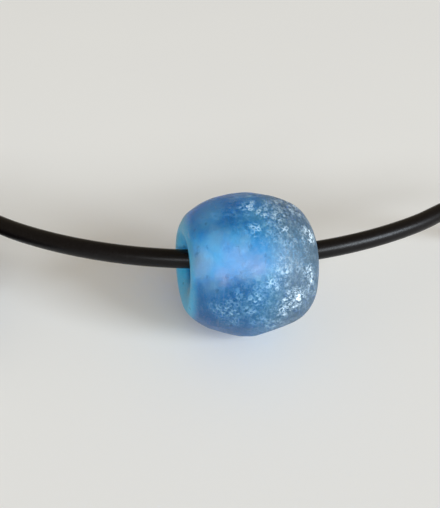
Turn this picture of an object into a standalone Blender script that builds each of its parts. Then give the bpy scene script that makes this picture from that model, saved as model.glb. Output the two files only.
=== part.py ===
"""Necklace: one frosted recycled-glass bead threaded on a 2 mm rubber cord, with metal end caps and a clasp.

Units are metres and +Z is up. The origin is on the surface that the necklace lies on, under the middle of
the bead. +X runs along the bead's hole, within a few degrees. The cord crosses the bead in a level arc; to
the right it comes down into an end cap with a lobster clasp, and to the left the rest of it is wound into a
coil held by a tie, with the other end cap lying on top.
"""

import math

import bmesh
import bpy
from mathutils import Matrix, Vector

MM = 0.001

# Cord
CORD_RADIUS = 1.0 * MM
ARC_CENTRE = Vector((2.19 * MM, 43.05 * MM, 0.0))  # of the cord's level arc through the bead
POINT_SPACING = 4.6 * MM
TAIL_SPACING = 2.4 * MM

# Bead
BEAD_HALF_LENGTH = 6.6 * MM
BEAD_RADIUS = 7.43 * MM
LIP_RADIUS = 3.89 * MM  # the circle along the crest of each rounded lip
LIP_DEPTH = 2.6 * MM
HOLE_RADIUS = 1.9 * MM
HOLE_OFFSET = Vector((0.0, 0.1 * MM, 0.85 * MM))  # the hole was made a little off the middle
BARREL_POWER = 1.92
BEAD_TURN = math.radians(4.95)  # how the bead lies askew on its cord: turned about the upright,
BEAD_TILT = math.radians(4.27)  # and with its left end raised
# Uneven places of the handmade bead: along the hole, angle round it, height and half-width
BEAD_LUMPS = [
    (5.0 * MM, math.radians(55), -0.25 * MM, 2.4 * MM),
    (-0.4 * MM, math.radians(235), 0.16 * MM, 1.8 * MM),
    (3.4 * MM, math.radians(238), -0.10 * MM, 1.8 * MM),
    (4.6 * MM, math.radians(200), 0.33 * MM, 2.6 * MM),
    (-4.6 * MM, math.radians(225), -0.15 * MM, 2.4 * MM),
    (0.5 * MM, math.radians(60), -0.06 * MM, 2.6 * MM),
    (-5.2 * MM, math.radians(180), -0.16 * MM, 2.6 * MM),
]

# End caps: outline from the mouth to the closed end, as distance and radius
CAP_OUTLINE = [
    (0.0, 1.65 * MM),
    (0.9 * MM, 1.65 * MM),
    (1.15 * MM, 1.48 * MM),
    (2.1 * MM, 1.48 * MM),
    (2.35 * MM, 1.65 * MM),
    (5.2 * MM, 1.65 * MM),
    (6.0 * MM, 1.35 * MM),
    (6.5 * MM, 0.75 * MM),
]
CAP_BORE_RADIUS = 1.12 * MM
CAP_BORE_DEPTH = 5.0 * MM
CAP_LOOP_AT = 7.4 * MM
CAP_LOOP_RADIUS = 1.28 * MM
CAP_LOOP_WIRE = 0.40 * MM
CAP_SIDES = 24

RIGHT_CAP_MOUTH = Vector((41.0 * MM, 8.33 * MM, 1.65 * MM))
RIGHT_CAP_HEADING = Vector((1.0, 0.0, 0.0))
LEFT_CAP_MOUTH = Vector((-52.0 * MM, 4.8 * MM, 9.05 * MM))
LEFT_CAP_HEADING = Vector((0.242, -0.970, 0.0)).normalized()

# Coil
COIL_CENTRE = Vector((-41.2 * MM, 5.2 * MM, 0.0))
COIL_RADIUS = 10.5 * MM  # the middle of its turns
COIL_HALF_WIDTH = 2.15 * MM
COIL_BASE = 0.4 * MM
COIL_TOP = 7.25 * MM
COIL_CORNER = 0.8 * MM
COIL_SIDES = 56

# Tie round the coil
TIE_ANGLE = math.radians(300)
TIE_THICKNESS = 0.25 * MM
TIE_WIDTH = 2.5 * MM
TIE_GAP = 0.15 * MM
TIE_CORNER = 1.0 * MM

# Jump rings: the radius of the ring's middle line, and of its wire
CLASP_RING_RADIUS = 2.1 * MM
CLASP_RING_WIRE = 0.4 * MM
END_RING_RADIUS = 2.1 * MM
END_RING_WIRE = 0.4 * MM
END_RING_HANG = 0.35 * MM  # how far below the middle of the cap's loop its wire rests
END_RING_GAP = 0.1 * MM
RING_SEGMENTS = 32
WIRE_SEGMENTS = 10

# Lobster clasp: u runs from its eye to its nose, v to the lever's side; outlines are in millimetres
CLASP_THICKNESS = 2.6 * MM
CLASP_MIDDLE_HEIGHT = 1.3 * MM
EYE_RADIUS = 1.3 * MM
EYE_WIRE = 0.42 * MM
HOOK_CENTRE_U = 8.0 * MM
HOOK_INNER_RADIUS = 2.0 * MM
HOOK_ROOT_WIDTH = 1.25 * MM
HOOK_TIP_WIDTH = 0.85 * MM
HOOK_START = math.radians(-165)
HOOK_END = math.radians(50)
NECK_OUTLINE = [
    (0.95, -0.65),
    (3.0, -1.55),
    (5.0, -2.35),
    (6.4, -1.9),
    (6.35, -0.9),
    (6.1, 0.0),
    (6.1, 1.9),
    (3.7, 1.9),
    (2.2, 1.15),
    (0.95, 0.65),
]
PIVOT_U = 4.7 * MM
PIVOT_V = 0.9 * MM
LEVER_THICKNESS = 1.1 * MM
LEVER_ROOT_RADIUS = 0.92 * MM
LEVER_OUTLINE = [
    (5.1, 1.85),
    (5.35, 2.75),
    (6.05, 2.85),
    (6.35, 2.05),
    (7.6, 1.98),
    (8.5, 1.78),
    (9.08, 1.42),
    (8.9, 0.95),
    (8.0, 1.1),
    (7.0, 1.12),
    (6.2, 0.85),
]
SLOT_WIDTH = 1.2 * MM
SLOT_START_U = 3.55 * MM
SLOT_END_U = 6.6 * MM
SLOT_FLOOR_V = -0.55 * MM
SLOT_OPEN_V = 3.0 * MM
RIVET_RADIUS = 0.38 * MM
RIVET_HOLE_RADIUS = 0.43 * MM
SPRING_WIRE = 0.1 * MM
SPRING_ROUTE = [
    (6.3, -0.40),
    (5.2, -0.41),
    (4.1, -0.41),
    (3.82, -0.32),
    (3.84, -0.20),
    (4.1, -0.16),
    (5.35, -0.14),
]

# The cord's own route where it isn't coiled, in millimetres, from the right end cap, through the bead, to
# the top of the coil
FRONT_ROUTE = [
    (45.7, 8.33, 1.65),
    (43.2, 8.33, 1.65),
    (41.0, 8.33, 1.65),
    (38.1, 8.33, 2.01),
    (35.1, 8.33, 3.14),
    (32.6, 8.31, 4.98),
    (30.1, 8.12, 6.80),
    (27.2, 7.30, 7.90),
    (24.5, 5.94, 8.25),
    (20.0, 3.58, 8.25),
    (15.0, 1.69, 8.25),
    (10.0, 0.46, 8.25),
    (5.0, -0.16, 8.25),
    (0.0, -0.19, 8.25),
    (-5.0, 0.35, 8.25),
    (-10.0, 1.50, 8.25),
    (-15.0, 3.31, 8.25),
    (-20.0, 5.87, 8.25),
    (-24.0, 8.57, 8.25),
    (-27.5, 11.53, 8.26),
    (-30.9, 14.0, 8.34),
    (-34.8, 15.8, 8.4),
]
# From the top of the coil into the left end cap
TAIL_ROUTE = [
    (-49.8, 11.3, 8.36),
    (-51.3, 9.4, 8.5),
    (-52.15, 7.4, 8.85),
    (-52.24, 5.8, 9.04),
    (-52.0, 4.8, 9.05),
    (-51.42, 2.47, 9.05),
    (-50.86, 0.24, 9.05),
]


def clear_scene():
    for obj in list(bpy.data.objects):
        bpy.data.objects.remove(obj, do_unlink=True)


def make_material(name, colour, roughness, metallic=0.0, transmission=0.0):
    material = bpy.data.materials.new(name)
    material.use_nodes = True
    shader = material.node_tree.nodes["Principled BSDF"]
    shader.inputs["Base Color"].default_value = (*colour, 1.0)
    shader.inputs["Roughness"].default_value = roughness
    shader.inputs["Metallic"].default_value = metallic
    shader.inputs["Transmission Weight"].default_value = transmission
    return material


def add_object(name, data, material, parent=None):
    obj = bpy.data.objects.new(name, data)
    bpy.context.scene.collection.objects.link(obj)
    data.materials.append(material)
    obj.parent = parent
    return obj


def mesh_object(name, verts, faces, material, parent=None):
    """A closed mesh with its faces turned outwards and its sharp edges kept."""
    mesh = bpy.data.meshes.new(name)
    mesh.from_pydata([tuple(v) for v in verts], [], faces)
    work = bmesh.new()
    work.from_mesh(mesh)
    bmesh.ops.recalc_face_normals(work, faces=work.faces)
    work.to_mesh(mesh)
    work.free()
    mesh.shade_smooth()
    mesh.set_sharp_from_angle(angle=math.radians(35))
    return add_object(name, mesh, material, parent)


def grid_faces(rows, columns):
    """Quads of a grid that closes on itself both ways."""
    return [
        (
            i * columns + j,
            i * columns + (j + 1) % columns,
            ((i + 1) % rows) * columns + (j + 1) % columns,
            ((i + 1) % rows) * columns + j,
        )
        for i in range(rows)
        for j in range(columns)
    ]


def empty_at(name, place, parent=None, heading=None):
    """An empty on a joint's axis; with a heading, its own X axis points that way and its Z stays up."""
    obj = bpy.data.objects.new(name, None)
    bpy.context.scene.collection.objects.link(obj)
    obj.parent = parent
    obj.location = place
    if heading is not None:
        obj.rotation_euler = (0.0, 0.0, math.atan2(heading.y, heading.x))
    return obj


def apply_boolean(obj, other, operation):
    """Joins other to obj, or cuts it out of obj, and removes other."""
    modifier = obj.modifiers.new(operation.title(), "BOOLEAN")
    modifier.operation = operation
    modifier.solver = "EXACT"
    modifier.object = other
    bpy.context.view_layer.update()
    depsgraph = bpy.context.evaluated_depsgraph_get()
    mesh = bpy.data.meshes.new_from_object(obj.evaluated_get(depsgraph))
    obj.modifiers.remove(modifier)
    obj.data = mesh
    bpy.data.objects.remove(other, do_unlink=True)
    mesh.shade_smooth()
    mesh.set_sharp_from_angle(angle=math.radians(35))


# ---------------------------------------------------------------- bead


def bead_outline(lip_steps=5, outer_steps=12):
    """Half the bead's section, from the middle of the hole round one lip to the widest place: (x, radius,
    share of the way from the hole's axis to the barrel's)."""
    half = [(x * (BEAD_HALF_LENGTH - LIP_DEPTH), HOLE_RADIUS, 0.0) for x in (0.0, 0.45, 0.8)]
    for i in range(lip_steps):
        turn = math.pi / 2 * i / lip_steps
        x = BEAD_HALF_LENGTH - LIP_DEPTH * (1.0 - math.sin(turn))
        radius = LIP_RADIUS - (LIP_RADIUS - HOLE_RADIUS) * math.cos(turn)
        half.append((x, radius, 1.0 - math.cos(turn)))
    for i in range(outer_steps + 1):
        turn = math.pi / 2 * i / outer_steps
        x = BEAD_HALF_LENGTH * max(math.cos(turn), 0.0) ** (2.0 / BARREL_POWER)
        radius = LIP_RADIUS + (BEAD_RADIUS - LIP_RADIUS) * math.sin(turn) ** (2.0 / BARREL_POWER)
        half.append((x, radius, 1.0))
    return half


def lump_height(x, angle, radius):
    """How far the handmade surface stands above the even barrel."""
    total = 0.0
    for at, turned, height, width in BEAD_LUMPS:
        along = (x - at) / width
        around = math.remainder(angle - turned, 2.0 * math.pi) * radius / width
        total += height * math.exp(-along * along - around * around)
    return total


def make_bead(material, columns=56):
    """The bead on its pivot: an empty at the middle of the cord's arc, round which it slides."""
    pivot = empty_at("bead_pivot", ARC_CENTRE)
    half = bead_outline()
    mirrored = [(-x, radius, share) for x, radius, share in reversed(half[1:-1])]
    section = half + mirrored
    verts = []
    for x, radius, share in section:
        for j in range(columns):
            angle = 2.0 * math.pi * j / columns
            full = radius + share * lump_height(x, angle, radius)
            shift = HOLE_OFFSET * (1.0 - share)
            verts.append(Vector((x, full * math.cos(angle), full * math.sin(angle))) + shift)
    askew = Matrix.Rotation(BEAD_TURN, 3, "Z") @ Matrix.Rotation(BEAD_TILT, 3, "Y")
    verts = [askew @ v for v in verts]
    lowest = min(v.z for v in verts)
    front, back = min(v.y for v in verts), max(v.y for v in verts)
    middle = (min(v.x for v in verts) + max(v.x for v in verts)) / 2.0
    standing = Vector((-middle, -(front + back) / 2.0, -lowest))
    bead = mesh_object("glass_bead", verts, grid_faces(len(section), columns), material, pivot)
    bead.location = standing - ARC_CENTRE
    return bead


# ---------------------------------------------------------------- cord


def smooth_line(points, steps=24):
    """Points along the smooth curve through the given ones, each run shaped by its neighbours' spacing."""
    ends = [points[0] * 2.0 - points[1], *points, points[-1] * 2.0 - points[-2]]
    line = []
    for a, b, c, d in zip(ends, ends[1:], ends[2:], ends[3:]):
        ab, bc, cd = (b - a).length, (c - b).length, (d - c).length
        slope_b = ((b - a) / ab * bc + (c - b) / bc * ab) / (ab + bc) * bc
        slope_c = ((c - b) / bc * cd + (d - c) / cd * bc) / (bc + cd) * bc
        for i in range(steps):
            t = i / steps
            line.append(
                b * (2 * t**3 - 3 * t**2 + 1)
                + slope_b * (t**3 - 2 * t**2 + t)
                + c * (3 * t**2 - 2 * t**3)
                + slope_c * (t**3 - t**2)
            )
    return [*line, points[-1]]


def evenly_spaced(line, spacing):
    """The line again as points an equal way apart, about the given spacing."""
    lengths = [0.0]
    for a, b in zip(line, line[1:]):
        lengths.append(lengths[-1] + (b - a).length)
    count = max(2, round(lengths[-1] / spacing))
    result, k = [], 0
    for i in range(count + 1):
        wanted = lengths[-1] * i / count
        while k < len(line) - 2 and lengths[k + 1] < wanted:
            k += 1
        share = (wanted - lengths[k]) / (lengths[k + 1] - lengths[k])
        result.append(line[k].lerp(line[k + 1], share))
    return result


def make_tube(name, points, radius, material, bevel_resolution=2, parent=None):
    curve = bpy.data.curves.new(name, "CURVE")
    curve.dimensions = "3D"
    curve.bevel_depth = radius
    curve.bevel_resolution = bevel_resolution
    curve.use_fill_caps = True
    spline = curve.splines.new("POLY")
    spline.points.add(len(points) - 1)
    for point, place in zip(spline.points, points):
        point.co = (*place, 1.0)
    return add_object(name, curve, material, parent)


def make_cord_run(name, route, spacing, material):
    points = [Vector(p) * MM for p in route]
    return make_tube(name, evenly_spaced(smooth_line(points), spacing), CORD_RADIUS, material)


def make_turned_ring(name, centre, outline, sides, material):
    """A closed outline of (radius, height) turned round a vertical axis."""
    verts = []
    for radius, height in outline:
        for j in range(sides):
            angle = 2.0 * math.pi * j / sides
            verts.append((radius * math.cos(angle), radius * math.sin(angle), height))
    ring = mesh_object(name, verts, grid_faces(len(outline), sides), material)
    ring.location = centre
    return ring


def rounded_rectangle(half_width, low, high, corner, steps=3):
    """Corner arcs of an outline that is half_width to each side of zero, and runs from low to high."""
    outline = []
    centres = [
        (half_width - corner, high - corner),
        (corner - half_width, high - corner),
        (corner - half_width, low + corner),
        (half_width - corner, low + corner),
    ]
    for k, (x, y) in enumerate(centres):
        for i in range(steps + 1):
            angle = math.pi / 2 * (k + i / steps)
            outline.append((x + corner * math.cos(angle), y + corner * math.sin(angle)))
    return outline


def make_coil(material):
    outline = rounded_rectangle(COIL_HALF_WIDTH, COIL_BASE, COIL_TOP, COIL_CORNER)
    shifted = [(COIL_RADIUS + across, height) for across, height in outline]
    return make_turned_ring("cord_coil", COIL_CENTRE, shifted, COIL_SIDES, material)


def make_tie(material):
    """A flat band closed round the coil's turns, with its lower run on the surface."""
    inside = rounded_rectangle(
        COIL_HALF_WIDTH + TIE_GAP, COIL_BASE - TIE_GAP, COIL_TOP + TIE_GAP, TIE_CORNER
    )
    outside = rounded_rectangle(
        COIL_HALF_WIDTH + TIE_GAP + TIE_THICKNESS,
        COIL_BASE - TIE_GAP - TIE_THICKNESS,
        COIL_TOP + TIE_GAP + TIE_THICKNESS,
        TIE_CORNER + TIE_THICKNESS,
    )
    count = len(inside)
    verts = []
    for outline, side in ((outside, -0.5), (outside, 0.5), (inside, 0.5), (inside, -0.5)):
        verts += [(across, side * TIE_WIDTH, height) for across, height in outline]
    tie = mesh_object("coil_tie", verts, grid_faces(4, count), material)
    tie.rotation_euler = (0.0, 0.0, TIE_ANGLE)
    outwards = Vector((math.cos(TIE_ANGLE), math.sin(TIE_ANGLE), 0.0))
    tie.location = COIL_CENTRE + outwards * COIL_RADIUS
    return tie


# ---------------------------------------------------------------- end caps and rings


def torus_object(name, radius, wire, material, parent=None, around=RING_SEGMENTS, across=WIRE_SEGMENTS):
    """A ring of round wire in its own XY plane."""
    verts = []
    for i in range(around):
        turn = 2.0 * math.pi * i / around
        for j in range(across):
            angle = 2.0 * math.pi * j / across
            reach = radius + wire * math.cos(angle)
            verts.append((reach * math.cos(turn), reach * math.sin(turn), wire * math.sin(angle)))
    return mesh_object(name, verts, grid_faces(around, across), material, parent)


def make_end_cap(name, mouth, heading, upright_loop, material):
    """A blind metal cup for the cord's end, closed by a wire loop; its own X axis points along heading."""
    wall = [*CAP_OUTLINE, (CAP_BORE_DEPTH, CAP_BORE_RADIUS), (0.0, CAP_BORE_RADIUS)]
    verts, faces = [], []
    outer_end = len(CAP_OUTLINE) - 1
    for at, radius in wall:
        for j in range(CAP_SIDES):
            angle = 2.0 * math.pi * j / CAP_SIDES
            verts.append((at, radius * math.cos(angle), radius * math.sin(angle)))
    for i in range(len(wall)):
        if i == outer_end:
            continue
        following = (i + 1) % len(wall)
        for j in range(CAP_SIDES):
            k = (j + 1) % CAP_SIDES
            faces.append(
                (i * CAP_SIDES + j, i * CAP_SIDES + k, following * CAP_SIDES + k, following * CAP_SIDES + j)
            )
    faces.append(tuple(outer_end * CAP_SIDES + j for j in range(CAP_SIDES)))
    faces.append(tuple((outer_end + 1) * CAP_SIDES + j for j in range(CAP_SIDES)))
    cap = mesh_object(name, verts, faces, material)
    loop = torus_object(name + "_loop", CAP_LOOP_RADIUS, CAP_LOOP_WIRE, material, around=24)
    loop.location = (CAP_LOOP_AT, 0.0, 0.0)
    if upright_loop:
        loop.rotation_euler = (math.pi / 2, 0.0, 0.0)
    apply_boolean(cap, loop, "UNION")
    cap.location = mouth
    cap.rotation_euler = (0.0, 0.0, math.atan2(heading.y, heading.x))
    return cap


def make_end_ring(material):
    """The ring that the clasp hooks into: it hangs in the left cap's upright loop and lies on the coil."""
    loop_middle = LEFT_CAP_MOUTH + LEFT_CAP_HEADING * CAP_LOOP_AT
    pivot = empty_at("end_ring_pivot", loop_middle, heading=LEFT_CAP_HEADING)
    held_height = LEFT_CAP_MOUTH.z - END_RING_HANG
    lying_height = COIL_TOP + END_RING_WIRE + END_RING_GAP
    tilt = math.asin((held_height - lying_height) / (2.0 * END_RING_RADIUS))
    ring = torus_object("end_jump_ring", END_RING_RADIUS, END_RING_WIRE, material, pivot)
    ring.rotation_euler = (0.0, tilt, 0.0)
    ring.location = (
        END_RING_RADIUS * math.cos(tilt),
        0.0,
        -END_RING_HANG - END_RING_RADIUS * math.sin(tilt),
    )


def make_clasp_ring(material):
    """The upright ring from the right cap's flat loop to the clasp's eye. Returns the clasp's pivot."""
    loop_middle = RIGHT_CAP_MOUTH + RIGHT_CAP_HEADING * CAP_LOOP_AT
    pivot = empty_at("clasp_ring_pivot", loop_middle, heading=Vector((0.0, -1.0, 0.0)))
    middle_height = CLASP_RING_RADIUS + CLASP_RING_WIRE
    rise = middle_height - loop_middle.z
    reach = math.sqrt(CLASP_RING_RADIUS**2 - rise**2)
    ring = torus_object("clasp_jump_ring", CLASP_RING_RADIUS, CLASP_RING_WIRE, material, pivot)
    ring.rotation_euler = (math.pi / 2, 0.0, 0.0)
    ring.location = (reach, 0.0, rise)
    eye_reach = reach + math.sqrt(CLASP_RING_RADIUS**2 - (middle_height - CLASP_MIDDLE_HEIGHT) ** 2)
    return empty_at("clasp_pivot", (eye_reach, 0.0, CLASP_MIDDLE_HEIGHT - loop_middle.z), pivot)


# ---------------------------------------------------------------- lobster clasp


def extruded(name, outline, thickness, material, parent=None):
    """A flat outline of (u, v) given a thickness, half of it to each side of its plane."""
    count = len(outline)
    verts = [(u, v, side * thickness) for side in (-0.5, 0.5) for u, v in outline]
    faces = [(i, (i + 1) % count, count + (i + 1) % count, count + i) for i in range(count)]
    faces.append(tuple(range(count)))
    faces.append(tuple(range(2 * count - 1, count - 1, -1)))
    return mesh_object(name, verts, faces, material, parent)


def disc_outline(u, v, radius, steps=20):
    return [
        (u + radius * math.cos(2 * math.pi * i / steps), v + radius * math.sin(2 * math.pi * i / steps))
        for i in range(steps)
    ]


def hook_outline(steps=22):
    """The curved arm from the neck round the nose to its tip, tapering on the way."""
    inner, outer = [], []
    for i in range(steps + 1):
        share = i / steps
        angle = HOOK_START + (HOOK_END - HOOK_START) * share
        width = HOOK_ROOT_WIDTH + (HOOK_TIP_WIDTH - HOOK_ROOT_WIDTH) * share
        for reach, side in ((HOOK_INNER_RADIUS, inner), (HOOK_INNER_RADIUS + width, outer)):
            side.append((HOOK_CENTRE_U + reach * math.cos(angle), reach * math.sin(angle)))
    return outer + inner[::-1]


def lever_outline(steps=9):
    """The gate: its thumb tab and upper edge, its tip, its underside, and round the rivet."""
    around = []
    for i in range(steps + 1):
        angle = math.radians(-75 - 200 * i / steps)
        around.append(
            (
                PIVOT_U + LEVER_ROOT_RADIUS * math.cos(angle),
                PIVOT_V + LEVER_ROOT_RADIUS * math.sin(angle),
            )
        )
    return [(u * MM, v * MM) for u, v in LEVER_OUTLINE] + around


def make_clasp_body(metal, pivot):
    body = extruded("clasp_body", [(u * MM, v * MM) for u, v in NECK_OUTLINE], CLASP_THICKNESS, metal)
    hook = extruded("clasp_hook", hook_outline(), CLASP_THICKNESS, metal)
    apply_boolean(body, hook, "UNION")
    eye = torus_object("clasp_eye", EYE_RADIUS, EYE_WIRE, metal, around=24)
    apply_boolean(body, eye, "UNION")
    slot_outline = [
        (SLOT_START_U, SLOT_FLOOR_V),
        (SLOT_END_U, SLOT_FLOOR_V),
        (SLOT_END_U, SLOT_OPEN_V),
        (SLOT_START_U, SLOT_OPEN_V),
    ]
    slot = extruded("clasp_slot", slot_outline, SLOT_WIDTH, metal)
    apply_boolean(body, slot, "DIFFERENCE")
    rivet_hole = disc_outline(PIVOT_U, PIVOT_V, RIVET_HOLE_RADIUS)
    hole = extruded("clasp_rivet_hole", rivet_hole, 2 * CLASP_THICKNESS, metal)
    apply_boolean(body, hole, "DIFFERENCE")
    body.parent = pivot
    return body


def make_lever(metal, pivot):
    """The lever turns on the rivet, so its pivot is there."""
    lever_pivot = empty_at("lever_pivot", (PIVOT_U, PIVOT_V, 0.0), pivot)
    lever = extruded("clasp_lever", lever_outline(), LEVER_THICKNESS, metal)
    rivet_hole = disc_outline(PIVOT_U, PIVOT_V, RIVET_HOLE_RADIUS)
    hole = extruded("lever_rivet_hole", rivet_hole, 2 * LEVER_THICKNESS, metal)
    apply_boolean(lever, hole, "DIFFERENCE")
    lever.parent = lever_pivot
    lever.location = (-PIVOT_U, -PIVOT_V, 0.0)
    return lever


def make_clasp(metal, spring_steel, pivot):
    make_clasp_body(metal, pivot)
    make_lever(metal, pivot)
    extruded("clasp_rivet", disc_outline(PIVOT_U, PIVOT_V, RIVET_RADIUS), CLASP_THICKNESS, metal, pivot)
    route = [Vector((u * MM, v * MM, 0.0)) for u, v in SPRING_ROUTE]
    make_tube("clasp_spring", route, SPRING_WIRE, spring_steel, parent=pivot)


def build():
    clear_scene()
    glass = make_material("frosted_blue_glass", (0.12, 0.30, 0.62), 0.55, transmission=0.7)
    rubber = make_material("black_rubber", (0.012, 0.011, 0.012), 0.6)
    metal = make_material("silver_plate", (0.72, 0.72, 0.71), 0.25, metallic=1.0)
    spring_steel = make_material("spring_steel", (0.45, 0.45, 0.46), 0.35, metallic=1.0)
    cotton = make_material("white_tie", (0.70, 0.68, 0.62), 0.9)
    make_bead(glass)
    make_cord_run("cord_front", FRONT_ROUTE, POINT_SPACING, rubber)
    make_coil(rubber)
    make_cord_run("cord_tail", TAIL_ROUTE, TAIL_SPACING, rubber)
    make_tie(cotton)
    make_end_cap("right_end_cap", RIGHT_CAP_MOUTH, RIGHT_CAP_HEADING, False, metal)
    make_end_cap("left_end_cap", LEFT_CAP_MOUTH, LEFT_CAP_HEADING, True, metal)
    make_end_ring(metal)
    make_clasp(metal, spring_steel, make_clasp_ring(metal))


build()
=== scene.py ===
"""Beaded cord necklace: a frosted blue glass bead on a black rubber cord, with its clasp and a tied coil."""

import math

import bmesh
import bpy
from mathutils import Matrix, Vector, noise


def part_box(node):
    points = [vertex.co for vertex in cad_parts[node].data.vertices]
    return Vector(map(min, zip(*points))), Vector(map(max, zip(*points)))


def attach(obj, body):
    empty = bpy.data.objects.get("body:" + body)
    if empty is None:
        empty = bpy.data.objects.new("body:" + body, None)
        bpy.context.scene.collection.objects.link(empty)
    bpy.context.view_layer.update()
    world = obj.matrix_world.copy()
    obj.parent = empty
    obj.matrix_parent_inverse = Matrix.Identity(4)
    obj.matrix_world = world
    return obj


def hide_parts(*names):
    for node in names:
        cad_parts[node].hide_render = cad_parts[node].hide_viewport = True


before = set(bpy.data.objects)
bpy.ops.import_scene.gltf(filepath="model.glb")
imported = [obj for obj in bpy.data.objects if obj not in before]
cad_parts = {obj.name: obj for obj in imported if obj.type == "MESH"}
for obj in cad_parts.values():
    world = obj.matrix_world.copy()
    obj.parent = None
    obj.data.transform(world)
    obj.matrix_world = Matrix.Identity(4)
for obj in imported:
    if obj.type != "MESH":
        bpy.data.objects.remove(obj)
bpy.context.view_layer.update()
scene = bpy.context.scene

MM = 0.001
BEAD_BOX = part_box("glass_bead")

# ---------------------------------------------------------------- camera

CAMERA_PLACE = (-0.01231, -0.06553, 0.05528)
CAMERA_PITCH = math.radians(55.0)  # up from looking straight down
CAMERA_HEADING = math.radians(-8.4)  # round from looking along +Y
CAMERA_LENS = 55.63  # millimetres, on a 36 mm sensor

camera_data = bpy.data.cameras.new("camera")
camera_data.lens = CAMERA_LENS
camera_data.clip_start, camera_data.clip_end = 1.0 * MM, 10.0
camera = bpy.data.objects.new("camera", camera_data)
camera.location = CAMERA_PLACE
camera.rotation_euler = (CAMERA_PITCH, 0.0, CAMERA_HEADING)
scene.collection.objects.link(camera)
scene.camera = camera

# ---------------------------------------------------------------- the cord's line

CORD_RADIUS = 1.0 * MM
COIL_CENTRE = Vector((-41.2, 5.2, 0.0))  # millimetres, as are the routes below
COIL_PITCH = 2.1
OUTER_TURN, INNER_TURN = 11.55, 9.45
FIRST_TURN_HEIGHT, LOWEST_TURN_HEIGHT = 6.91, 1.45
OUTER_DEGREES, CROSSING_DEGREES, LAST_DEGREES = 936.0, 80.0, 1800.0
COIL_STEP_DEGREES = 12
CURVE_STEPS = 6
CORD_POINT_SPACING = 0.75
FRONT_ROUTE = [
    (45.7, 8.33, 1.65), (43.2, 8.33, 1.65), (41.0, 8.33, 1.65), (38.1, 8.33, 2.01), (35.1, 8.33, 3.14),
    (32.6, 8.31, 4.98), (30.1, 8.12, 6.80), (27.2, 7.30, 7.90), (24.5, 5.94, 8.25), (20.0, 3.58, 8.25),
    (15.0, 1.69, 8.25), (10.0, 0.46, 8.25), (5.0, -0.16, 8.25), (0.0, -0.19, 8.25), (-5.0, 0.35, 8.25),
    (-10.0, 1.50, 8.25), (-15.0, 3.31, 8.25), (-20.0, 5.87, 8.25), (-24.0, 8.57, 8.25), (-27.5, 11.53, 8.26),
    (-30.9, 14.0, 8.34), (-34.8, 15.8, 8.4), (-38.3, 16.65, 7.5),
]
TAIL_ROUTE = [
    (-46.0, 13.45, 7.25), (-49.8, 11.3, 8.36), (-51.3, 9.4, 8.5), (-52.15, 7.4, 8.85),
    (-52.24, 5.8, 9.04), (-52.0, 4.8, 9.05), (-51.42, 2.47, 9.05), (-50.86, 0.24, 9.05),
]


def coil_point(degrees):
    """The coil's point so far round it from its start at the back: down the outer turns, up the inner."""
    inwards = min(max((degrees - OUTER_DEGREES) / CROSSING_DEGREES, 0.0), 1.0)
    radius = OUTER_TURN + (INNER_TURN - OUTER_TURN) * inwards * inwards * (3.0 - 2.0 * inwards)
    down = FIRST_TURN_HEIGHT - COIL_PITCH * degrees / 360.0
    up = LOWEST_TURN_HEIGHT + COIL_PITCH * (degrees - OUTER_DEGREES - CROSSING_DEGREES) / 360.0
    height = max(down, LOWEST_TURN_HEIGHT, up)
    angle = math.radians(90.0 + degrees)
    return COIL_CENTRE + Vector((radius * math.cos(angle), radius * math.sin(angle), height))


def smooth_line(points, steps):
    """Points along the smooth curve through the given ones, each run shaped by its neighbours' spacing."""
    ends = [points[0] * 2.0 - points[1], *points, points[-1] * 2.0 - points[-2]]
    line = []
    for a, b, c, d in zip(ends, ends[1:], ends[2:], ends[3:]):
        ab, bc, cd = (b - a).length, (c - b).length, (d - c).length
        slope_b = ((b - a) / ab * bc + (c - b) / bc * ab) / (ab + bc) * bc
        slope_c = ((c - b) / bc * cd + (d - c) / cd * bc) / (bc + cd) * bc
        for i in range(steps):
            t = i / steps
            line.append(
                b * (2 * t**3 - 3 * t**2 + 1)
                + slope_b * (t**3 - 2 * t**2 + t)
                + c * (3 * t**2 - 2 * t**3)
                + slope_c * (t**3 - t**2)
            )
    return [*line, points[-1]]


def evenly_spaced(line, spacing):
    """The line again as points an equal way apart, about the given spacing."""
    lengths = [0.0]
    for a, b in zip(line, line[1:]):
        lengths.append(lengths[-1] + (b - a).length)
    count = max(2, round(lengths[-1] / spacing))
    result, k = [], 0
    for i in range(count + 1):
        wanted = lengths[-1] * i / count
        while k < len(line) - 2 and lengths[k + 1] < wanted:
            k += 1
        share = (wanted - lengths[k]) / (lengths[k + 1] - lengths[k])
        result.append(line[k].lerp(line[k + 1], share))
    return result


def add_object(name, data, *materials):
    obj = bpy.data.objects.new(name, data)
    scene.collection.objects.link(obj)
    for material in materials:
        data.materials.append(material)
    return obj


def face_outwards(mesh):
    work = bmesh.new()
    work.from_mesh(mesh)
    bmesh.ops.recalc_face_normals(work, faces=work.faces)
    work.to_mesh(mesh)
    work.free()


coil_route = [coil_point(degrees) for degrees in range(0, int(LAST_DEGREES) + 1, COIL_STEP_DEGREES)]
whole_route = [Vector(p) for p in FRONT_ROUTE] + coil_route + [Vector(p) for p in TAIL_ROUTE]
cord_line = evenly_spaced(smooth_line(whole_route, CURVE_STEPS), CORD_POINT_SPACING)
cord_curve = bpy.data.curves.new("rubber_cord", "CURVE")
cord_curve.dimensions = "3D"
cord_curve.bevel_depth = CORD_RADIUS
cord_curve.bevel_resolution = 6
cord_curve.use_fill_caps = True
cord_spline = cord_curve.splines.new("POLY")
cord_spline.points.add(len(cord_line) - 1)
for spline_point, place in zip(cord_spline.points, cord_line):
    spline_point.co = (*(place * MM), 1.0)
cord = add_object("rubber_cord", cord_curve)

# ---------------------------------------------------------------- materials


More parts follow.
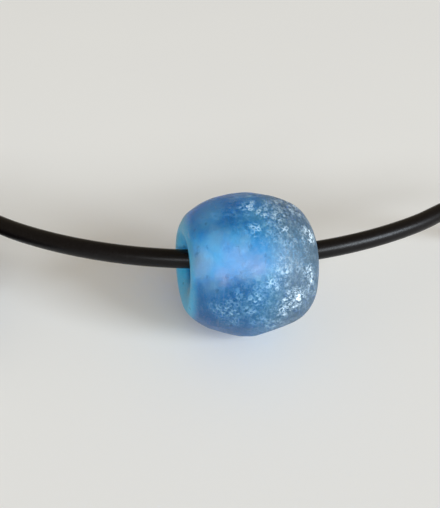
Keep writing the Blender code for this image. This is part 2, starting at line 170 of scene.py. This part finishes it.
class Nodes:
    """A short way to write a material's node tree; its patterns are in millimetres on the object."""

    def __init__(self, name):
        self.material = bpy.data.materials.new(name)
        self.material.use_nodes = True
        self.tree = self.material.node_tree
        self.shader = self.tree.nodes["Principled BSDF"]
        coordinates = self.tree.nodes.new("ShaderNodeTexCoord")
        self.mm = self.add("ShaderNodeVectorMath", coordinates.outputs["Object"], operation="SCALE")
        self.mm.node.inputs["Scale"].default_value = 1.0 / MM

    def put(self, value, socket):
        if isinstance(value, bpy.types.NodeSocket):
            self.tree.links.new(value, socket)
        elif value is not None:
            if socket.type == "RGBA" and len(value) == 3:
                value = (*value, 1.0)
            socket.default_value = value

    def add(self, kind, *inputs, out=0, settings=None, **attributes):
        node = self.tree.nodes.new(kind)
        for key, value in attributes.items():
            setattr(node, key, value)
        for value, socket in zip(inputs, node.inputs):
            self.put(value, socket)
        for key, value in (settings or {}).items():
            self.put(value, node.inputs[key])
        return node.outputs[out]

    def math(self, operation, a, b=None, clamp=False):
        return self.add("ShaderNodeMath", a, b, operation=operation, use_clamp=clamp)

    def vector(self, operation, a, b=None):
        return self.add("ShaderNodeVectorMath", a, b, operation=operation)

    def stretched(self, scale):
        return self.vector("MULTIPLY", self.mm, scale)

    def noise(self, scale, detail=3.0, source=None, rough=0.5):
        settings = {"Scale": scale, "Detail": detail, "Roughness": rough}
        return self.add("ShaderNodeTexNoise", source or self.mm, settings=settings)

    def voronoi(self, scale, feature, source):
        return self.add("ShaderNodeTexVoronoi", source, feature=feature, settings={"Scale": scale})

    def span(self, value, low, high, to_low=0.0, to_high=1.0):
        """value mapped smoothly from low..high to to_low..to_high, and held at its ends."""
        return self.add(
            "ShaderNodeMapRange", value, low, high, to_low, to_high, interpolation_type="SMOOTHSTEP"
        )

    def mix(self, share, a, b):
        node = self.tree.nodes.new("ShaderNodeMix")
        node.data_type = "RGBA"
        self.put(share, node.inputs["Factor"])
        self.put(a, node.inputs[6])
        self.put(b, node.inputs[7])
        return node.outputs[2]

    def bump(self, height, strength, distance):
        settings = {"Strength": strength, "Distance": distance, "Height": height}
        return self.add("ShaderNodeBump", settings=settings)

    def set(self, **values):
        for key, value in values.items():
            self.put(value, self.shader.inputs[key.replace("_", " ")])
        return self.material


# Places of the bead's own pattern, in millimetres as the bead lies at rest: middle, reach and strength
CRACKLE_SPOTS = [
    ((0.2, -0.8, 14.8), 1.2, 0.8), ((1.3, -1.6, 14.6), 1.1, 0.7), ((2.6, -2.2, 14.2), 0.9, 0.6),
    ((3.0, -3.4, 13.5), 0.9, 0.6), ((0.3, -3.5, 14.1), 0.9, 0.6), ((3.1, -4.6, 12.6), 1.1, 0.2),
    ((5.9, -2.6, 12.1), 1.3, 0.9), ((2.8, -6.1, 10.9), 1.5, 0.5), ((1.8, -6.8, 10.1), 1.3, 0.6),
    ((5.4, -5.3, 9.6), 1.0, 0.7), ((5.7, -5.5, 8.5), 1.0, 0.7), ((3.7, -6.8, 7.5), 1.6, 0.95),
    ((2.9, -7.0, 6.7), 1.3, 0.75), ((-0.2, -7.4, 8.4), 1.2, 0.5), ((-0.8, -7.4, 7.0), 1.3, 0.4),
    ((0.5, -7.1, 5.3), 1.5, 0.3), ((2.0, -6.5, 4.2), 1.7, 0.45), ((-2.9, -7.0, 6.9), 1.7, 0.5),
    ((-2.1, -7.1, 8.4), 1.2, 0.45), ((-2.5, -6.9, 5.5), 1.4, 0.35), ((-4.1, -6.6, 7.2), 1.0, 0.45),
    ((0.4, -7.0, 9.8), 1.2, 0.35),
]
DEEP_SPOTS = [
    ((-1.4, -0.6, 14.8), 2.0, 0.85), ((-2.0, -2.4, 14.4), 1.5, 0.7), ((-1.2, -7.1, 9.5), 1.6, 0.9),
    ((-3.0, -6.8, 8.8), 1.5, 0.7), ((0.1, -4.9, 13.0), 1.3, 0.7), ((1.6, -4.3, 13.3), 1.6, 0.6),
    ((-0.3, -3.7, 14.0), 1.5, 0.85), ((-1.5, -7.1, 9.2), 1.5, 0.7),
]
LIGHT_SPOTS = [((-4.2, -0.4, 14.0), 2.0, 0.8), ((-3.0, 0.6, 14.5), 1.2, 0.6)]
FROSTED_SPOTS = [
    ((-5.2, -4.6, 11.2), 2.2, 0.8), ((-4.4, -5.9, 10.2), 1.8, 0.45), ((-3.4, -3.8, 13.0), 1.9, 0.5),
    ((-1.3, -4.3, 13.1), 1.4, 0.35),
]
BRIGHT_SPOTS = [
    ((-1.9, -5.8, 11.9), 1.7, 0.9), ((-3.1, -6.2, 10.9), 1.1, 0.7), ((-0.3, -6.1, 11.7), 1.5, 0.7),
]
PITS = [
    ((-5.4, -3.8, 12.0), 0.32, 0.8), ((-4.4, -4.0, 12.8), 0.2, 0.7), ((-1.7, -4.9, 13.0), 0.2, 0.7),
    ((-0.5, -5.1, 12.9), 0.26, 0.7),
]

GLASS_BLUES = ((0.04, 0.47, 0.95), (0.17, 0.69, 1.0))
DEEP_BLUE = (0.005, 0.41, 0.85)
LOWER_BLUE = (0.015, 0.27, 0.54)
LIGHT_BLUE = (0.20, 0.64, 0.98)
BRIGHT_LILAC = (0.84, 0.72, 0.93)
FROST_GREY = (0.38, 0.41, 0.50)
# Painted light: a lighter cyan for the left end face, standing in for light that shines out through the
# short path of glass there
PAINTED_LIP_LIGHT_BLUE = (0.08, 0.66, 1.0)
# Grey frosted haze for the right-hand side, darkened further as painted shade
HAZE_AND_SHADE_BLUE = (0.12, 0.215, 0.30)
STREAK_BLUE = (0.50, 0.72, 0.92)
CRACK_WHITE = (0.74, 0.89, 0.98)
SPECK_BLUE = (0.46, 0.76, 0.96)
PIT_BLUE = (0.03, 0.12, 0.26)
GLASS_IOR = 1.47
ABSORPTION_COLOUR, ABSORPTION_DENSITY = (0.0, 0.83, 0.975), 235.0
WANDER = 0.45  # millimetres that the pattern's lines stray, from side to side


def frosted_glass():
    """Tumbled recycled glass: blue, with grey frosting, clusters of pale ring-like cracks and fine pits;
    painted shade darkens its right-hand side and painted light lightens its left end face.
    """
    n = Nodes("frosted_blue_glass")
    wander = n.vector("SCALE", n.vector("SUBTRACT", n.noise(1.1, 2.0, rough=0.6), (0.5, 0.5, 0.5)))
    wander.node.inputs["Scale"].default_value = WANDER
    loose = n.vector("ADD", n.mm, wander)
    ragged = n.vector("ADD", loose, n.vector("MULTIPLY", wander, (2.0, 2.0, 2.0)))
    axis_x = n.add("ShaderNodeSeparateXYZ", n.mm)
    axis_y, axis_z = axis_x.node.outputs["Y"], axis_x.node.outputs["Z"]

    def spots(places, amount=0.0):
        """amount, or where it is more the strength of the place that a point is in; edges are ragged."""
        for place, reach, strength in places:
            away = n.add("ShaderNodeVectorMath", ragged, place, out=1, operation="DISTANCE")
            amount = n.math("MAXIMUM", amount, n.span(away, 0.2 * reach, 1.3 * reach, strength, 0.0))
        return amount

    def circles(scale, radius, line):
        """Small closed rings, one in each cell of a loose mesh."""
        from_ring = n.math("ABSOLUTE", n.math("SUBTRACT", n.voronoi(scale, "F1", loose), radius))
        return n.span(from_ring, 0.3 * line, line, 1.0, 0.0)

    # Where the glass is crackled: the placed spots, and chance clusters that grow towards +X and the back
    clusters = n.span(n.noise(0.4, 4.0, rough=0.65), 0.4, 0.62)
    back = n.math("MULTIPLY", n.span(axis_y, -3.0, 2.0, 0.0, 0.4), n.span(axis_x, -5.0, 0.0, 0.2, 1.0))
    usual = n.math("ADD", n.span(axis_x, -3.0, 3.0, 0.1, 0.3), back)
    crackled = spots(CRACKLE_SPOTS, n.math("MULTIPLY", clusters, usual))

    # The cracks themselves: a faint mesh and two sizes of ring, broken up
    cracks = n.span(n.voronoi(2.2, "DISTANCE_TO_EDGE", loose), 0.02, 0.1, 0.45, 0.0)
    cracks = n.math("MAXIMUM", cracks, circles(1.7, 0.34, 0.12))
    cracks = n.math("MAXIMUM", cracks, n.math("MULTIPLY", circles(2.7, 0.34, 0.14), 0.75))
    broken = n.span(n.noise(1.5, 3.0, rough=0.6), 0.32, 0.5)
    cracks = n.math("MULTIPLY", cracks, broken)
    pale = n.math("MULTIPLY", cracks, crackled)

    # The glass's blue, place by place: uneven tone and spots, darker towards the bottom, painted light on
    # the left end face and painted shade on the right-hand side
    uneven = n.span(n.noise(0.45, 3.0, rough=0.55), 0.36, 0.62)
    lip = n.span(axis_x, -6.4, -5.4, 1.0, 0.0)
    light = spots(LIGHT_SPOTS)
    frosted = spots(FROSTED_SPOTS)
    blue = n.mix(uneven, *GLASS_BLUES)
    blue = n.mix(spots(DEEP_SPOTS), blue, DEEP_BLUE)
    # Darker towards the bottom, below 10.5 mm
    blue = n.mix(n.span(axis_z, 6.5, 10.5, 0.75, 0.0), blue, LOWER_BLUE)
    blue = n.mix(light, blue, LIGHT_BLUE)
    blue = n.mix(spots(BRIGHT_SPOTS), blue, BRIGHT_LILAC)
    blue = n.mix(frosted, blue, FROST_GREY)
    # Painted light: the left end face goes to a lighter cyan, for light coming out through the glass there
    blue = n.mix(lip, blue, PAINTED_LIP_LIGHT_BLUE)
    # Painted shade: towards +X the blue goes to a darker grey haze, partly frosting and partly shade painted
    # in to hold down the side the right-hand lamp lights
    hazy_and_shaded = n.mix(n.span(axis_x, -0.5, 4.0), blue, HAZE_AND_SHADE_BLUE)

    # What lies over it: streaks round the bead, the pale cracks, sugary specks and dark pits
    streaks = n.span(n.noise(1.0, 3.0, n.stretched((3.4, 0.7, 0.7)), rough=0.65), 0.5, 0.72)
    streaks = n.math("MULTIPLY", streaks, n.span(n.noise(0.3, 1.0), 0.4, 0.6, 0.2, 1.0))
    sugar = n.span(n.noise(4.5, 3.0, rough=0.7), 0.5, 0.72)
    pits = spots(PITS, n.span(n.voronoi(0.62, "F1", loose), 0.05, 0.16, 0.6, 0.0))
    colour = n.mix(n.math("MULTIPLY", streaks, 0.32), hazy_and_shaded, STREAK_BLUE)
    colour = n.mix(pale, colour, CRACK_WHITE)
    colour = n.mix(n.math("MULTIPLY", sugar, 0.28), colour, SPECK_BLUE)
    colour = n.mix(n.math("MULTIPLY", pits, 0.7), colour, PIT_BLUE)

    # How much light the surface stops instead of letting it in
    frost = n.math("ADD", n.span(axis_x, -2.5, 5.0, 0.06, 0.30), n.math("MULTIPLY", lip, 0.55))
    for pattern, amount in ((frosted, 0.4), (light, 0.2), (sugar, 0.06)):
        frost = n.math("ADD", frost, n.math("MULTIPLY", pattern, amount))
    clear = n.math("SUBTRACT", n.math("SUBTRACT", 1.0, frost), n.math("MULTIPLY", pale, 0.85), clamp=True)

    grain = n.noise(9.0, 3.0, rough=0.65)
    rough = n.math("ADD", n.span(axis_x, -3.0, 2.5, 0.32, 0.42), n.math("MULTIPLY", grain, 0.16))
    relief = n.math("ADD", n.math("MULTIPLY", grain, 0.3), n.math("MULTIPLY", cracks, 0.18))
    relief = n.math("SUBTRACT", relief, n.math("MULTIPLY", pits, 1.2))
    inside = n.add("ShaderNodeVolumeAbsorption", ABSORPTION_COLOUR, ABSORPTION_DENSITY)
    n.tree.links.new(inside, n.tree.nodes["Material Output"].inputs["Volume"])
    return n.set(
        Base_Color=colour,
        Transmission_Weight=clear,
        Roughness=rough,
        IOR=GLASS_IOR,
        Specular_IOR_Level=0.35,
        Sheen_Weight=0.03,
        Sheen_Roughness=0.5,
        Sheen_Tint=(0.70, 0.84, 1.0),
        Normal=n.bump(relief, 0.45, 0.05 * MM),
    )


def hole_wall():
    """The pale clay that is left on the wall of a recycled-glass bead's hole."""
    n = Nodes("pale_hole_wall")
    lines = n.noise(1.0, 4.0, n.stretched((0.5, 3.0, 3.0)), rough=0.6)
    colour = n.mix(n.span(lines, 0.35, 0.68), (0.78, 0.86, 0.94), (0.93, 0.97, 1.0))
    return n.set(Base_Color=colour, Roughness=0.85, Normal=n.bump(lines, 0.4, 0.04 * MM))


def rubber():
    """Solid black rubber cord, satin, with faint dust and drawing marks."""
    n = Nodes("black_rubber")
    dust = n.span(n.noise(2.6, 5.0, rough=0.7), 0.5, 0.8)
    marks = n.noise(6.0, 4.0, rough=0.7)
    colour = n.mix(n.math("MULTIPLY", dust, 0.15), (0.0025, 0.0018, 0.002), (0.03, 0.029, 0.03))
    return n.set(
        Base_Color=colour,
        Roughness=n.span(marks, 0.3, 0.7, 0.26, 0.42),
        Specular_IOR_Level=0.2,
        Normal=n.bump(marks, 0.25, 0.02 * MM),
    )


def plated_metal(name, colour, dull, roughness):
    """Bright plating with fine scratches, and a little tarnish in patches."""
    n = Nodes(name)
    patches = n.span(n.noise(0.9, 4.0, rough=0.65), 0.48, 0.72)
    scratches = n.noise(1.0, 2.0, n.stretched((3.0, 26.0, 14.0)), rough=0.6)
    uneven = n.math("ADD", n.math("MULTIPLY", scratches, 0.16), n.math("MULTIPLY", patches, 0.1))
    return n.set(
        Base_Color=n.mix(n.math("MULTIPLY", patches, 0.6), colour, dull),
        Metallic=1.0,
        Roughness=n.math("ADD", uneven, roughness),
        Normal=n.bump(scratches, 0.12, 0.01 * MM),
    )


def cotton():
    """Undyed woven cotton tape."""
    n = Nodes("cotton_tape")
    warp = n.add("ShaderNodeTexWave", n.mm, bands_direction="Z", settings={"Scale": 1.6, "Distortion": 0.6})
    weft = n.add("ShaderNodeTexWave", n.mm, bands_direction="X", settings={"Scale": 1.6, "Distortion": 0.6})
    weave = n.math("MULTIPLY", n.math("ADD", warp, 0.35), n.math("ADD", weft, 0.35))
    fibre = n.noise(7.0, 4.0, rough=0.7)
    colour = n.mix(n.span(weave, 0.1, 1.1), (0.46, 0.43, 0.36), (0.70, 0.68, 0.61))
    colour = n.mix(n.math("MULTIPLY", n.span(fibre, 0.4, 0.7), 0.3), colour, (0.54, 0.50, 0.43))
    return n.set(
        Base_Color=colour, Roughness=0.9, Sheen_Weight=0.25, Normal=n.bump(weave, 0.6, 0.06 * MM)
    )


def table_surface():
    n = Nodes("pale_table")
    # Painted light: a very broad, faint swing in the floor's colour, there to even out how the lamps light
    # the floor across the view
    painted_floor_light = n.noise(0.012, 3.0, rough=0.5)
    fine = n.noise(2.0, 2.0, rough=0.5)
    return n.set(
        Base_Color=n.mix(n.span(painted_floor_light, 0.35, 0.65), (0.805, 0.805, 0.79), (0.795, 0.795, 0.785)),
        Roughness=n.span(fine, 0.3, 0.7, 0.7, 0.8),
        Specular_IOR_Level=0.2,
    )


GLASS, WALL, RUBBER, TAPE = frosted_glass(), hole_wall(), rubber(), cotton()
PLATE = plated_metal("silver_plate", (0.68, 0.675, 0.66), (0.46, 0.435, 0.40), 0.17)
STEEL = plated_metal("spring_wire", (0.52, 0.52, 0.53), (0.34, 0.33, 0.33), 0.28)
cord_curve.materials.append(RUBBER)

# ---------------------------------------------------------------- bead

BEAD_HALF_LENGTH = 6.6 * MM
BEAD_RADIUS = 7.43 * MM
LIP_RADIUS = 3.89 * MM
LIP_DEPTH = 2.6 * MM
HOLE_RADIUS = 1.9 * MM
HOLE_OFFSET = Vector((0.0, 0.1 * MM, 0.85 * MM))
BARREL_POWER = 1.92
BEAD_TURN = math.radians(4.95)
BEAD_TILT = math.radians(4.27)
# Uneven places of the handmade bead: along the hole, angle round it, height and half-width
BEAD_LUMPS = [
    (5.0 * MM, math.radians(55), -0.25 * MM, 2.4 * MM),
    (-0.4 * MM, math.radians(235), 0.16 * MM, 1.8 * MM),
    (3.4 * MM, math.radians(238), -0.10 * MM, 1.8 * MM),
    (4.6 * MM, math.radians(200), 0.33 * MM, 2.6 * MM),
    (-4.6 * MM, math.radians(225), -0.15 * MM, 2.4 * MM),
    (0.5 * MM, math.radians(60), -0.06 * MM, 2.6 * MM),
    (-5.2 * MM, math.radians(180), -0.16 * MM, 2.6 * MM),
]
BEAD_DENTS = ((0.11 * MM, 2.3 * MM), (0.035 * MM, 0.8 * MM))  # depth and size, coarse and fine
BEAD_COLUMNS = 160
WALL_STEPS, LIP_STEPS, OUTER_STEPS = 8, 12, 30
WALL_SHARE = 0.1  # of the way out to the barrel, where the hole's pale wall stops on the lip


def bead_outline():
    """Half the bead's section, from the middle of the hole round one lip to the widest place: (x, radius,
    share of the way from the hole's axis to the barrel's)."""
    straight = BEAD_HALF_LENGTH - LIP_DEPTH
    half = [(straight * i / WALL_STEPS, HOLE_RADIUS, 0.0) for i in range(WALL_STEPS)]
    for i in range(LIP_STEPS):
        turn = math.pi / 2 * i / LIP_STEPS
        x = BEAD_HALF_LENGTH - LIP_DEPTH * (1.0 - math.sin(turn))
        radius = LIP_RADIUS - (LIP_RADIUS - HOLE_RADIUS) * math.cos(turn)
        half.append((x, radius, 1.0 - math.cos(turn)))
    for i in range(OUTER_STEPS + 1):
        turn = math.pi / 2 * i / OUTER_STEPS
        x = BEAD_HALF_LENGTH * max(math.cos(turn), 0.0) ** (2.0 / BARREL_POWER)
        radius = LIP_RADIUS + (BEAD_RADIUS - LIP_RADIUS) * math.sin(turn) ** (2.0 / BARREL_POWER)
        half.append((x, radius, 1.0))
    return half


def lump_height(x, angle, radius):
    """How far the handmade surface stands above the even barrel."""
    total = 0.0
    for at, turned, height, width in BEAD_LUMPS:
        along = (x - at) / width
        around = math.remainder(angle - turned, 2.0 * math.pi) * radius / width
        total += height * math.exp(-along * along - around * around)
    return total


def make_bead():
    """The bead, with the small dents and swellings that tumbling leaves on its outside."""
    half = bead_outline()
    mirrored = [(-x, radius, share) for x, radius, share in reversed(half[1:-1])]
    section = half + mirrored
    verts = []
    for x, radius, share in section:
        for j in range(BEAD_COLUMNS):
            angle = 2.0 * math.pi * j / BEAD_COLUMNS
            even = Vector((x, radius * math.cos(angle), radius * math.sin(angle)))
            dents = sum(depth * noise.noise(even / size) for depth, size in BEAD_DENTS)
            full = radius + share * (lump_height(x, angle, radius) + dents)
            shift = HOLE_OFFSET * (1.0 - share)
            verts.append(Vector((x, full * math.cos(angle), full * math.sin(angle))) + shift)
    rows = len(section)
    faces, on_wall = [], []
    for i in range(rows):
        following = (i + 1) % rows
        for j in range(BEAD_COLUMNS):
            k = (j + 1) % BEAD_COLUMNS
            faces.append(
                (i * BEAD_COLUMNS + j, i * BEAD_COLUMNS + k,
                 following * BEAD_COLUMNS + k, following * BEAD_COLUMNS + j)
            )
            on_wall.append(section[i][2] < WALL_SHARE and section[following][2] < WALL_SHARE)
    askew = Matrix.Rotation(BEAD_TURN, 3, "Z") @ Matrix.Rotation(BEAD_TILT, 3, "Y")
    verts = [askew @ v for v in verts]
    low = Vector([min(v[i] for v in verts) for i in range(3)])
    high = Vector([max(v[i] for v in verts) for i in range(3)])
    cad_low, cad_high = BEAD_BOX
    standing = (Vector(cad_low) + Vector(cad_high) - low - high) / 2.0
    mesh = bpy.data.meshes.new("glass_bead_surface")
    mesh.from_pydata([v + standing for v in verts], [], faces)
    bead = add_object("frosted_bead", mesh, GLASS, WALL)
    for face, inner in zip(mesh.polygons, on_wall):
        face.material_index = 1 if inner else 0
    face_outwards(mesh)
    mesh.shade_smooth()
    return bead


bead = make_bead()
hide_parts("glass_bead")
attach(bead, "bead")

# ---------------------------------------------------------------- tie round the coil

TIE_ANGLE = 300.0  # degrees round the coil; the sizes below are in millimetres
TIE_HALF_WIDTH = 1.15
TIE_HALF_THICKNESS = 0.13
TIE_CLEARANCE = 0.17
TAPE_SPACING = 0.3
TABLE_GAP = 0.04
KNOT_HEIGHT = 4.6
KNOT_POINTS = 28
KNOT_OUT, KNOT_HALF_DEPTH, KNOT_HALF_LENGTH, KNOT_TWIST = 0.42, 0.30, 0.6875, 0.55
KNOT_HALF_WIDTH, KNOT_HALF_THICKNESS = 0.8, 0.14
END_HALF_WIDTH, END_HALF_THICKNESS = 0.85, 0.12
LANES = (-1.0, -0.94, -0.6, -0.2, 0.2, 0.6, 0.94, 1.0)  # the tape's points across, as shares of its width
LANE_RIPPLE = 0.03


def turns_at(angle):
    """Where the coil's turns cross a section at that angle, as (distance from the coil's middle, height)."""
    first = (angle - 90.0) % 360.0
    points = [coil_point(first + 360.0 * k) for k in range(int((LAST_DEGREES - first) // 360.0) + 1)]
    return [(math.hypot(*(p - COIL_CENTRE).xy), p.z) for p in points]


def hull(points):
    """The convex outline round some points, counter-clockwise."""
    ordered = sorted(set(points))
    sides = []
    for run in (ordered, ordered[::-1]):
        side = []
        for p in run:
            while len(side) > 1 and (
                (side[-1][0] - side[-2][0]) * (p[1] - side[-2][1])
                - (side[-1][1] - side[-2][1]) * (p[0] - side[-2][0])
            ) <= 0.0:
                side.pop()
            side.append(p)
        sides += side[:-1]
    return sides


def ribbon(name, centre_line, across, half_width, half_thickness, closed):
    """A flat woven tape along a line; across gives the direction of its width at each point."""
    count = len(centre_line)
    verts = []
    for i, place in enumerate(centre_line):
        before = centre_line[i - 1] if closed or i else place
        after = centre_line[(i + 1) % count] if closed or i < count - 1 else place
        wide = across[i].normalized()
        out = (after - before).cross(wide).normalized()
        for side in (1.0, -1.0):
            for lane in LANES if side > 0 else LANES[::-1]:
                thick = half_thickness * (0.45 if abs(lane) == 1.0 else 1.0)
                ripple = LANE_RIPPLE * noise.noise(place * 1.7 + wide * lane)
                verts.append((place + wide * half_width * lane + out * (side * thick + ripple)) * MM)
    ring = 2 * len(LANES)
    faces = []
    for i in range(count if closed else count - 1):
        for j in range(ring):
            k, following = (j + 1) % ring, (i + 1) % count
            faces.append((i * ring + j, i * ring + k, following * ring + k, following * ring + j))
    if not closed:
        faces += [tuple(range(ring)), tuple((count - 1) * ring + j for j in range(ring))]
    mesh = bpy.data.meshes.new(name)
    mesh.from_pydata(verts, [], faces)
    face_outwards(mesh)
    mesh.shade_smooth()
    mesh.set_sharp_from_angle(angle=math.radians(50))
    return add_object(name, mesh, TAPE)


def make_tie():
    """The tape round the turns, and its two free ends held by a flat knot on the outside."""
    turn = Matrix.Rotation(math.radians(TIE_ANGLE), 3, "Z")

    def placed(out, along, height):
        return COIL_CENTRE + turn @ Vector((out, along, height))

    reach = CORD_RADIUS / MM + TIE_CLEARANCE
    around = [
        (out + reach * math.cos(a), height + reach * math.sin(a))
        for out, height in turns_at(TIE_ANGLE)
        for a in (math.radians(9 * k) for k in range(40))
    ]
    around = [(out, max(height, TIE_HALF_THICKNESS + TABLE_GAP)) for out, height in around]
    outline = [Vector((out, height, 0.0)) for out, height in hull(around)]
    outline = evenly_spaced([*outline, outline[0]], TAPE_SPACING)[:-1]
    loop = [placed(p.x, 0.0, p.y) for p in outline]
    tangent = turn @ Vector((0.0, 1.0, 0.0))
    band = ribbon("coil_tape", loop, [tangent] * len(loop), TIE_HALF_WIDTH, TIE_HALF_THICKNESS, True)
    out_side = max(out for out, height in around)

    knot_line, knot_across = [], []
    for i in range(KNOT_POINTS):
        a = 2.0 * math.pi * i / KNOT_POINTS
        out = out_side + KNOT_OUT + KNOT_HALF_DEPTH * math.cos(a)
        height = KNOT_HEIGHT + KNOT_TWIST * math.cos(a) * math.sin(a)
        knot_line.append(placed(out, KNOT_HALF_LENGTH * math.sin(a), height))
        knot_across.append(turn @ Vector((0.35 * math.sin(a), 0.0, 1.0)))
    knot = ribbon("coil_tape_knot", knot_line, knot_across, KNOT_HALF_WIDTH, KNOT_HALF_THICKNESS, True)

    ends = []
    for k, side in enumerate((-1.0, 1.0)):
        droop = 0.3 * k
        route = [  # out from the coil, along it, and the height
            Vector((out_side + 0.34, side * 0.3, KNOT_HEIGHT + 0.1 * side)),
            Vector((out_side + 0.75, side * 1.6, KNOT_HEIGHT - 0.25)),
            Vector((out_side + 1.05, side * 3.2, KNOT_HEIGHT - 1.25 - droop)),
            Vector((out_side + 0.95, side * 4.7, KNOT_HEIGHT - 2.7 - droop)),
        ]
        line = [placed(*p) for p in smooth_line(route, CURVE_STEPS + 1)]
        across = [turn @ Vector((0.25 * side, -0.35 * side, 1.0)) for _ in line]
        name = f"coil_tape_tail_{k + 1}"
        ends.append(ribbon(name, line, across, END_HALF_WIDTH, END_HALF_THICKNESS, False))
    return band, [knot, *ends]


tie_band, tie_ends = make_tie()
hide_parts("coil_tie")
for piece in (tie_band, *tie_ends):
    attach(piece, "cord")

# ---------------------------------------------------------------- metal fittings, from the CAD

FITTINGS = {
    "right_end_cap": PLATE,
    "left_end_cap": PLATE,
    "end_jump_ring": PLATE,
    "clasp_jump_ring": PLATE,
    "clasp_body": PLATE,
    "clasp_lever": PLATE,
    "clasp_rivet": PLATE,
    "clasp_spring": STEEL,
}
EDGE_ROUNDING = {"clasp_body": 0.22 * MM, "clasp_lever": 0.14 * MM, "clasp_rivet": 0.06 * MM}
SHARP_EDGE = math.radians(40)

for node, material in FITTINGS.items():
    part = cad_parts[node]
    for material_slot in part.material_slots:
        material_slot.material = material
    if node in EDGE_ROUNDING:
        weld = part.modifiers.new("weld", "WELD")
        weld.merge_threshold = 0.002 * MM
        bevel = part.modifiers.new("edges", "BEVEL")
        bevel.width = EDGE_ROUNDING[node]
        bevel.segments = 3
        bevel.limit_method = "ANGLE"
        bevel.angle_limit = SHARP_EDGE
        bevel.use_clamp_overlap = True

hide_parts("cord_front", "cord_coil", "cord_tail")
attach(cord, "cord")

# ---------------------------------------------------------------- table and light

TABLE_HALF = 1.5
LIGHT_DISTANCE = 5.0
SKY_COLOUR, SKY_STRENGTH = (1.0, 0.83, 0.60, 1.0), 0.345

table_mesh = bpy.data.meshes.new("table")
table_corners = [(x * TABLE_HALF, y * TABLE_HALF, 0.0) for x, y in ((-1, -1), (1, -1), (1, 1), (-1, 1))]
table_mesh.from_pydata(table_corners, [], [(0, 1, 2, 3)])
table = add_object("table", table_mesh, table_surface())


def area_light(name, azimuth, elevation, width, height, power, colour):
    """A soft window of light that shines on the bead; azimuth runs from +X towards +Y."""
    data = bpy.data.lights.new(name, "AREA")
    data.shape = "RECTANGLE"
    data.size, data.size_y = width, height
    data.energy = power
    data.color = colour
    light = bpy.data.objects.new(name, data)
    a, e = math.radians(azimuth), math.radians(elevation)
    towards = Vector((math.cos(a) * math.cos(e), math.sin(a) * math.cos(e), math.sin(e)))
    light.location = towards * LIGHT_DISTANCE
    light.rotation_mode = "QUATERNION"
    light.rotation_quaternion = towards.to_track_quat("Z", "Y")
    scene.collection.objects.link(light)


area_light(
    "window_right", azimuth=-41.0, elevation=24.5, width=2.0, height=2.0,
    power=260.0, colour=(0.82, 0.906, 1.0),
)
area_light(
    "window_front", azimuth=-84.0, elevation=22.5, width=5.2, height=1.0,
    power=203.0, colour=(0.89, 0.948, 1.0),
)

world = bpy.data.worlds.new("studio")
world.use_nodes = True
sky = world.node_tree.nodes["Background"]
sky.inputs["Color"].default_value = SKY_COLOUR
sky.inputs["Strength"].default_value = SKY_STRENGTH
scene.world = world
scene.view_settings.view_transform = "Standard"
scene.cycles.use_denoising = True
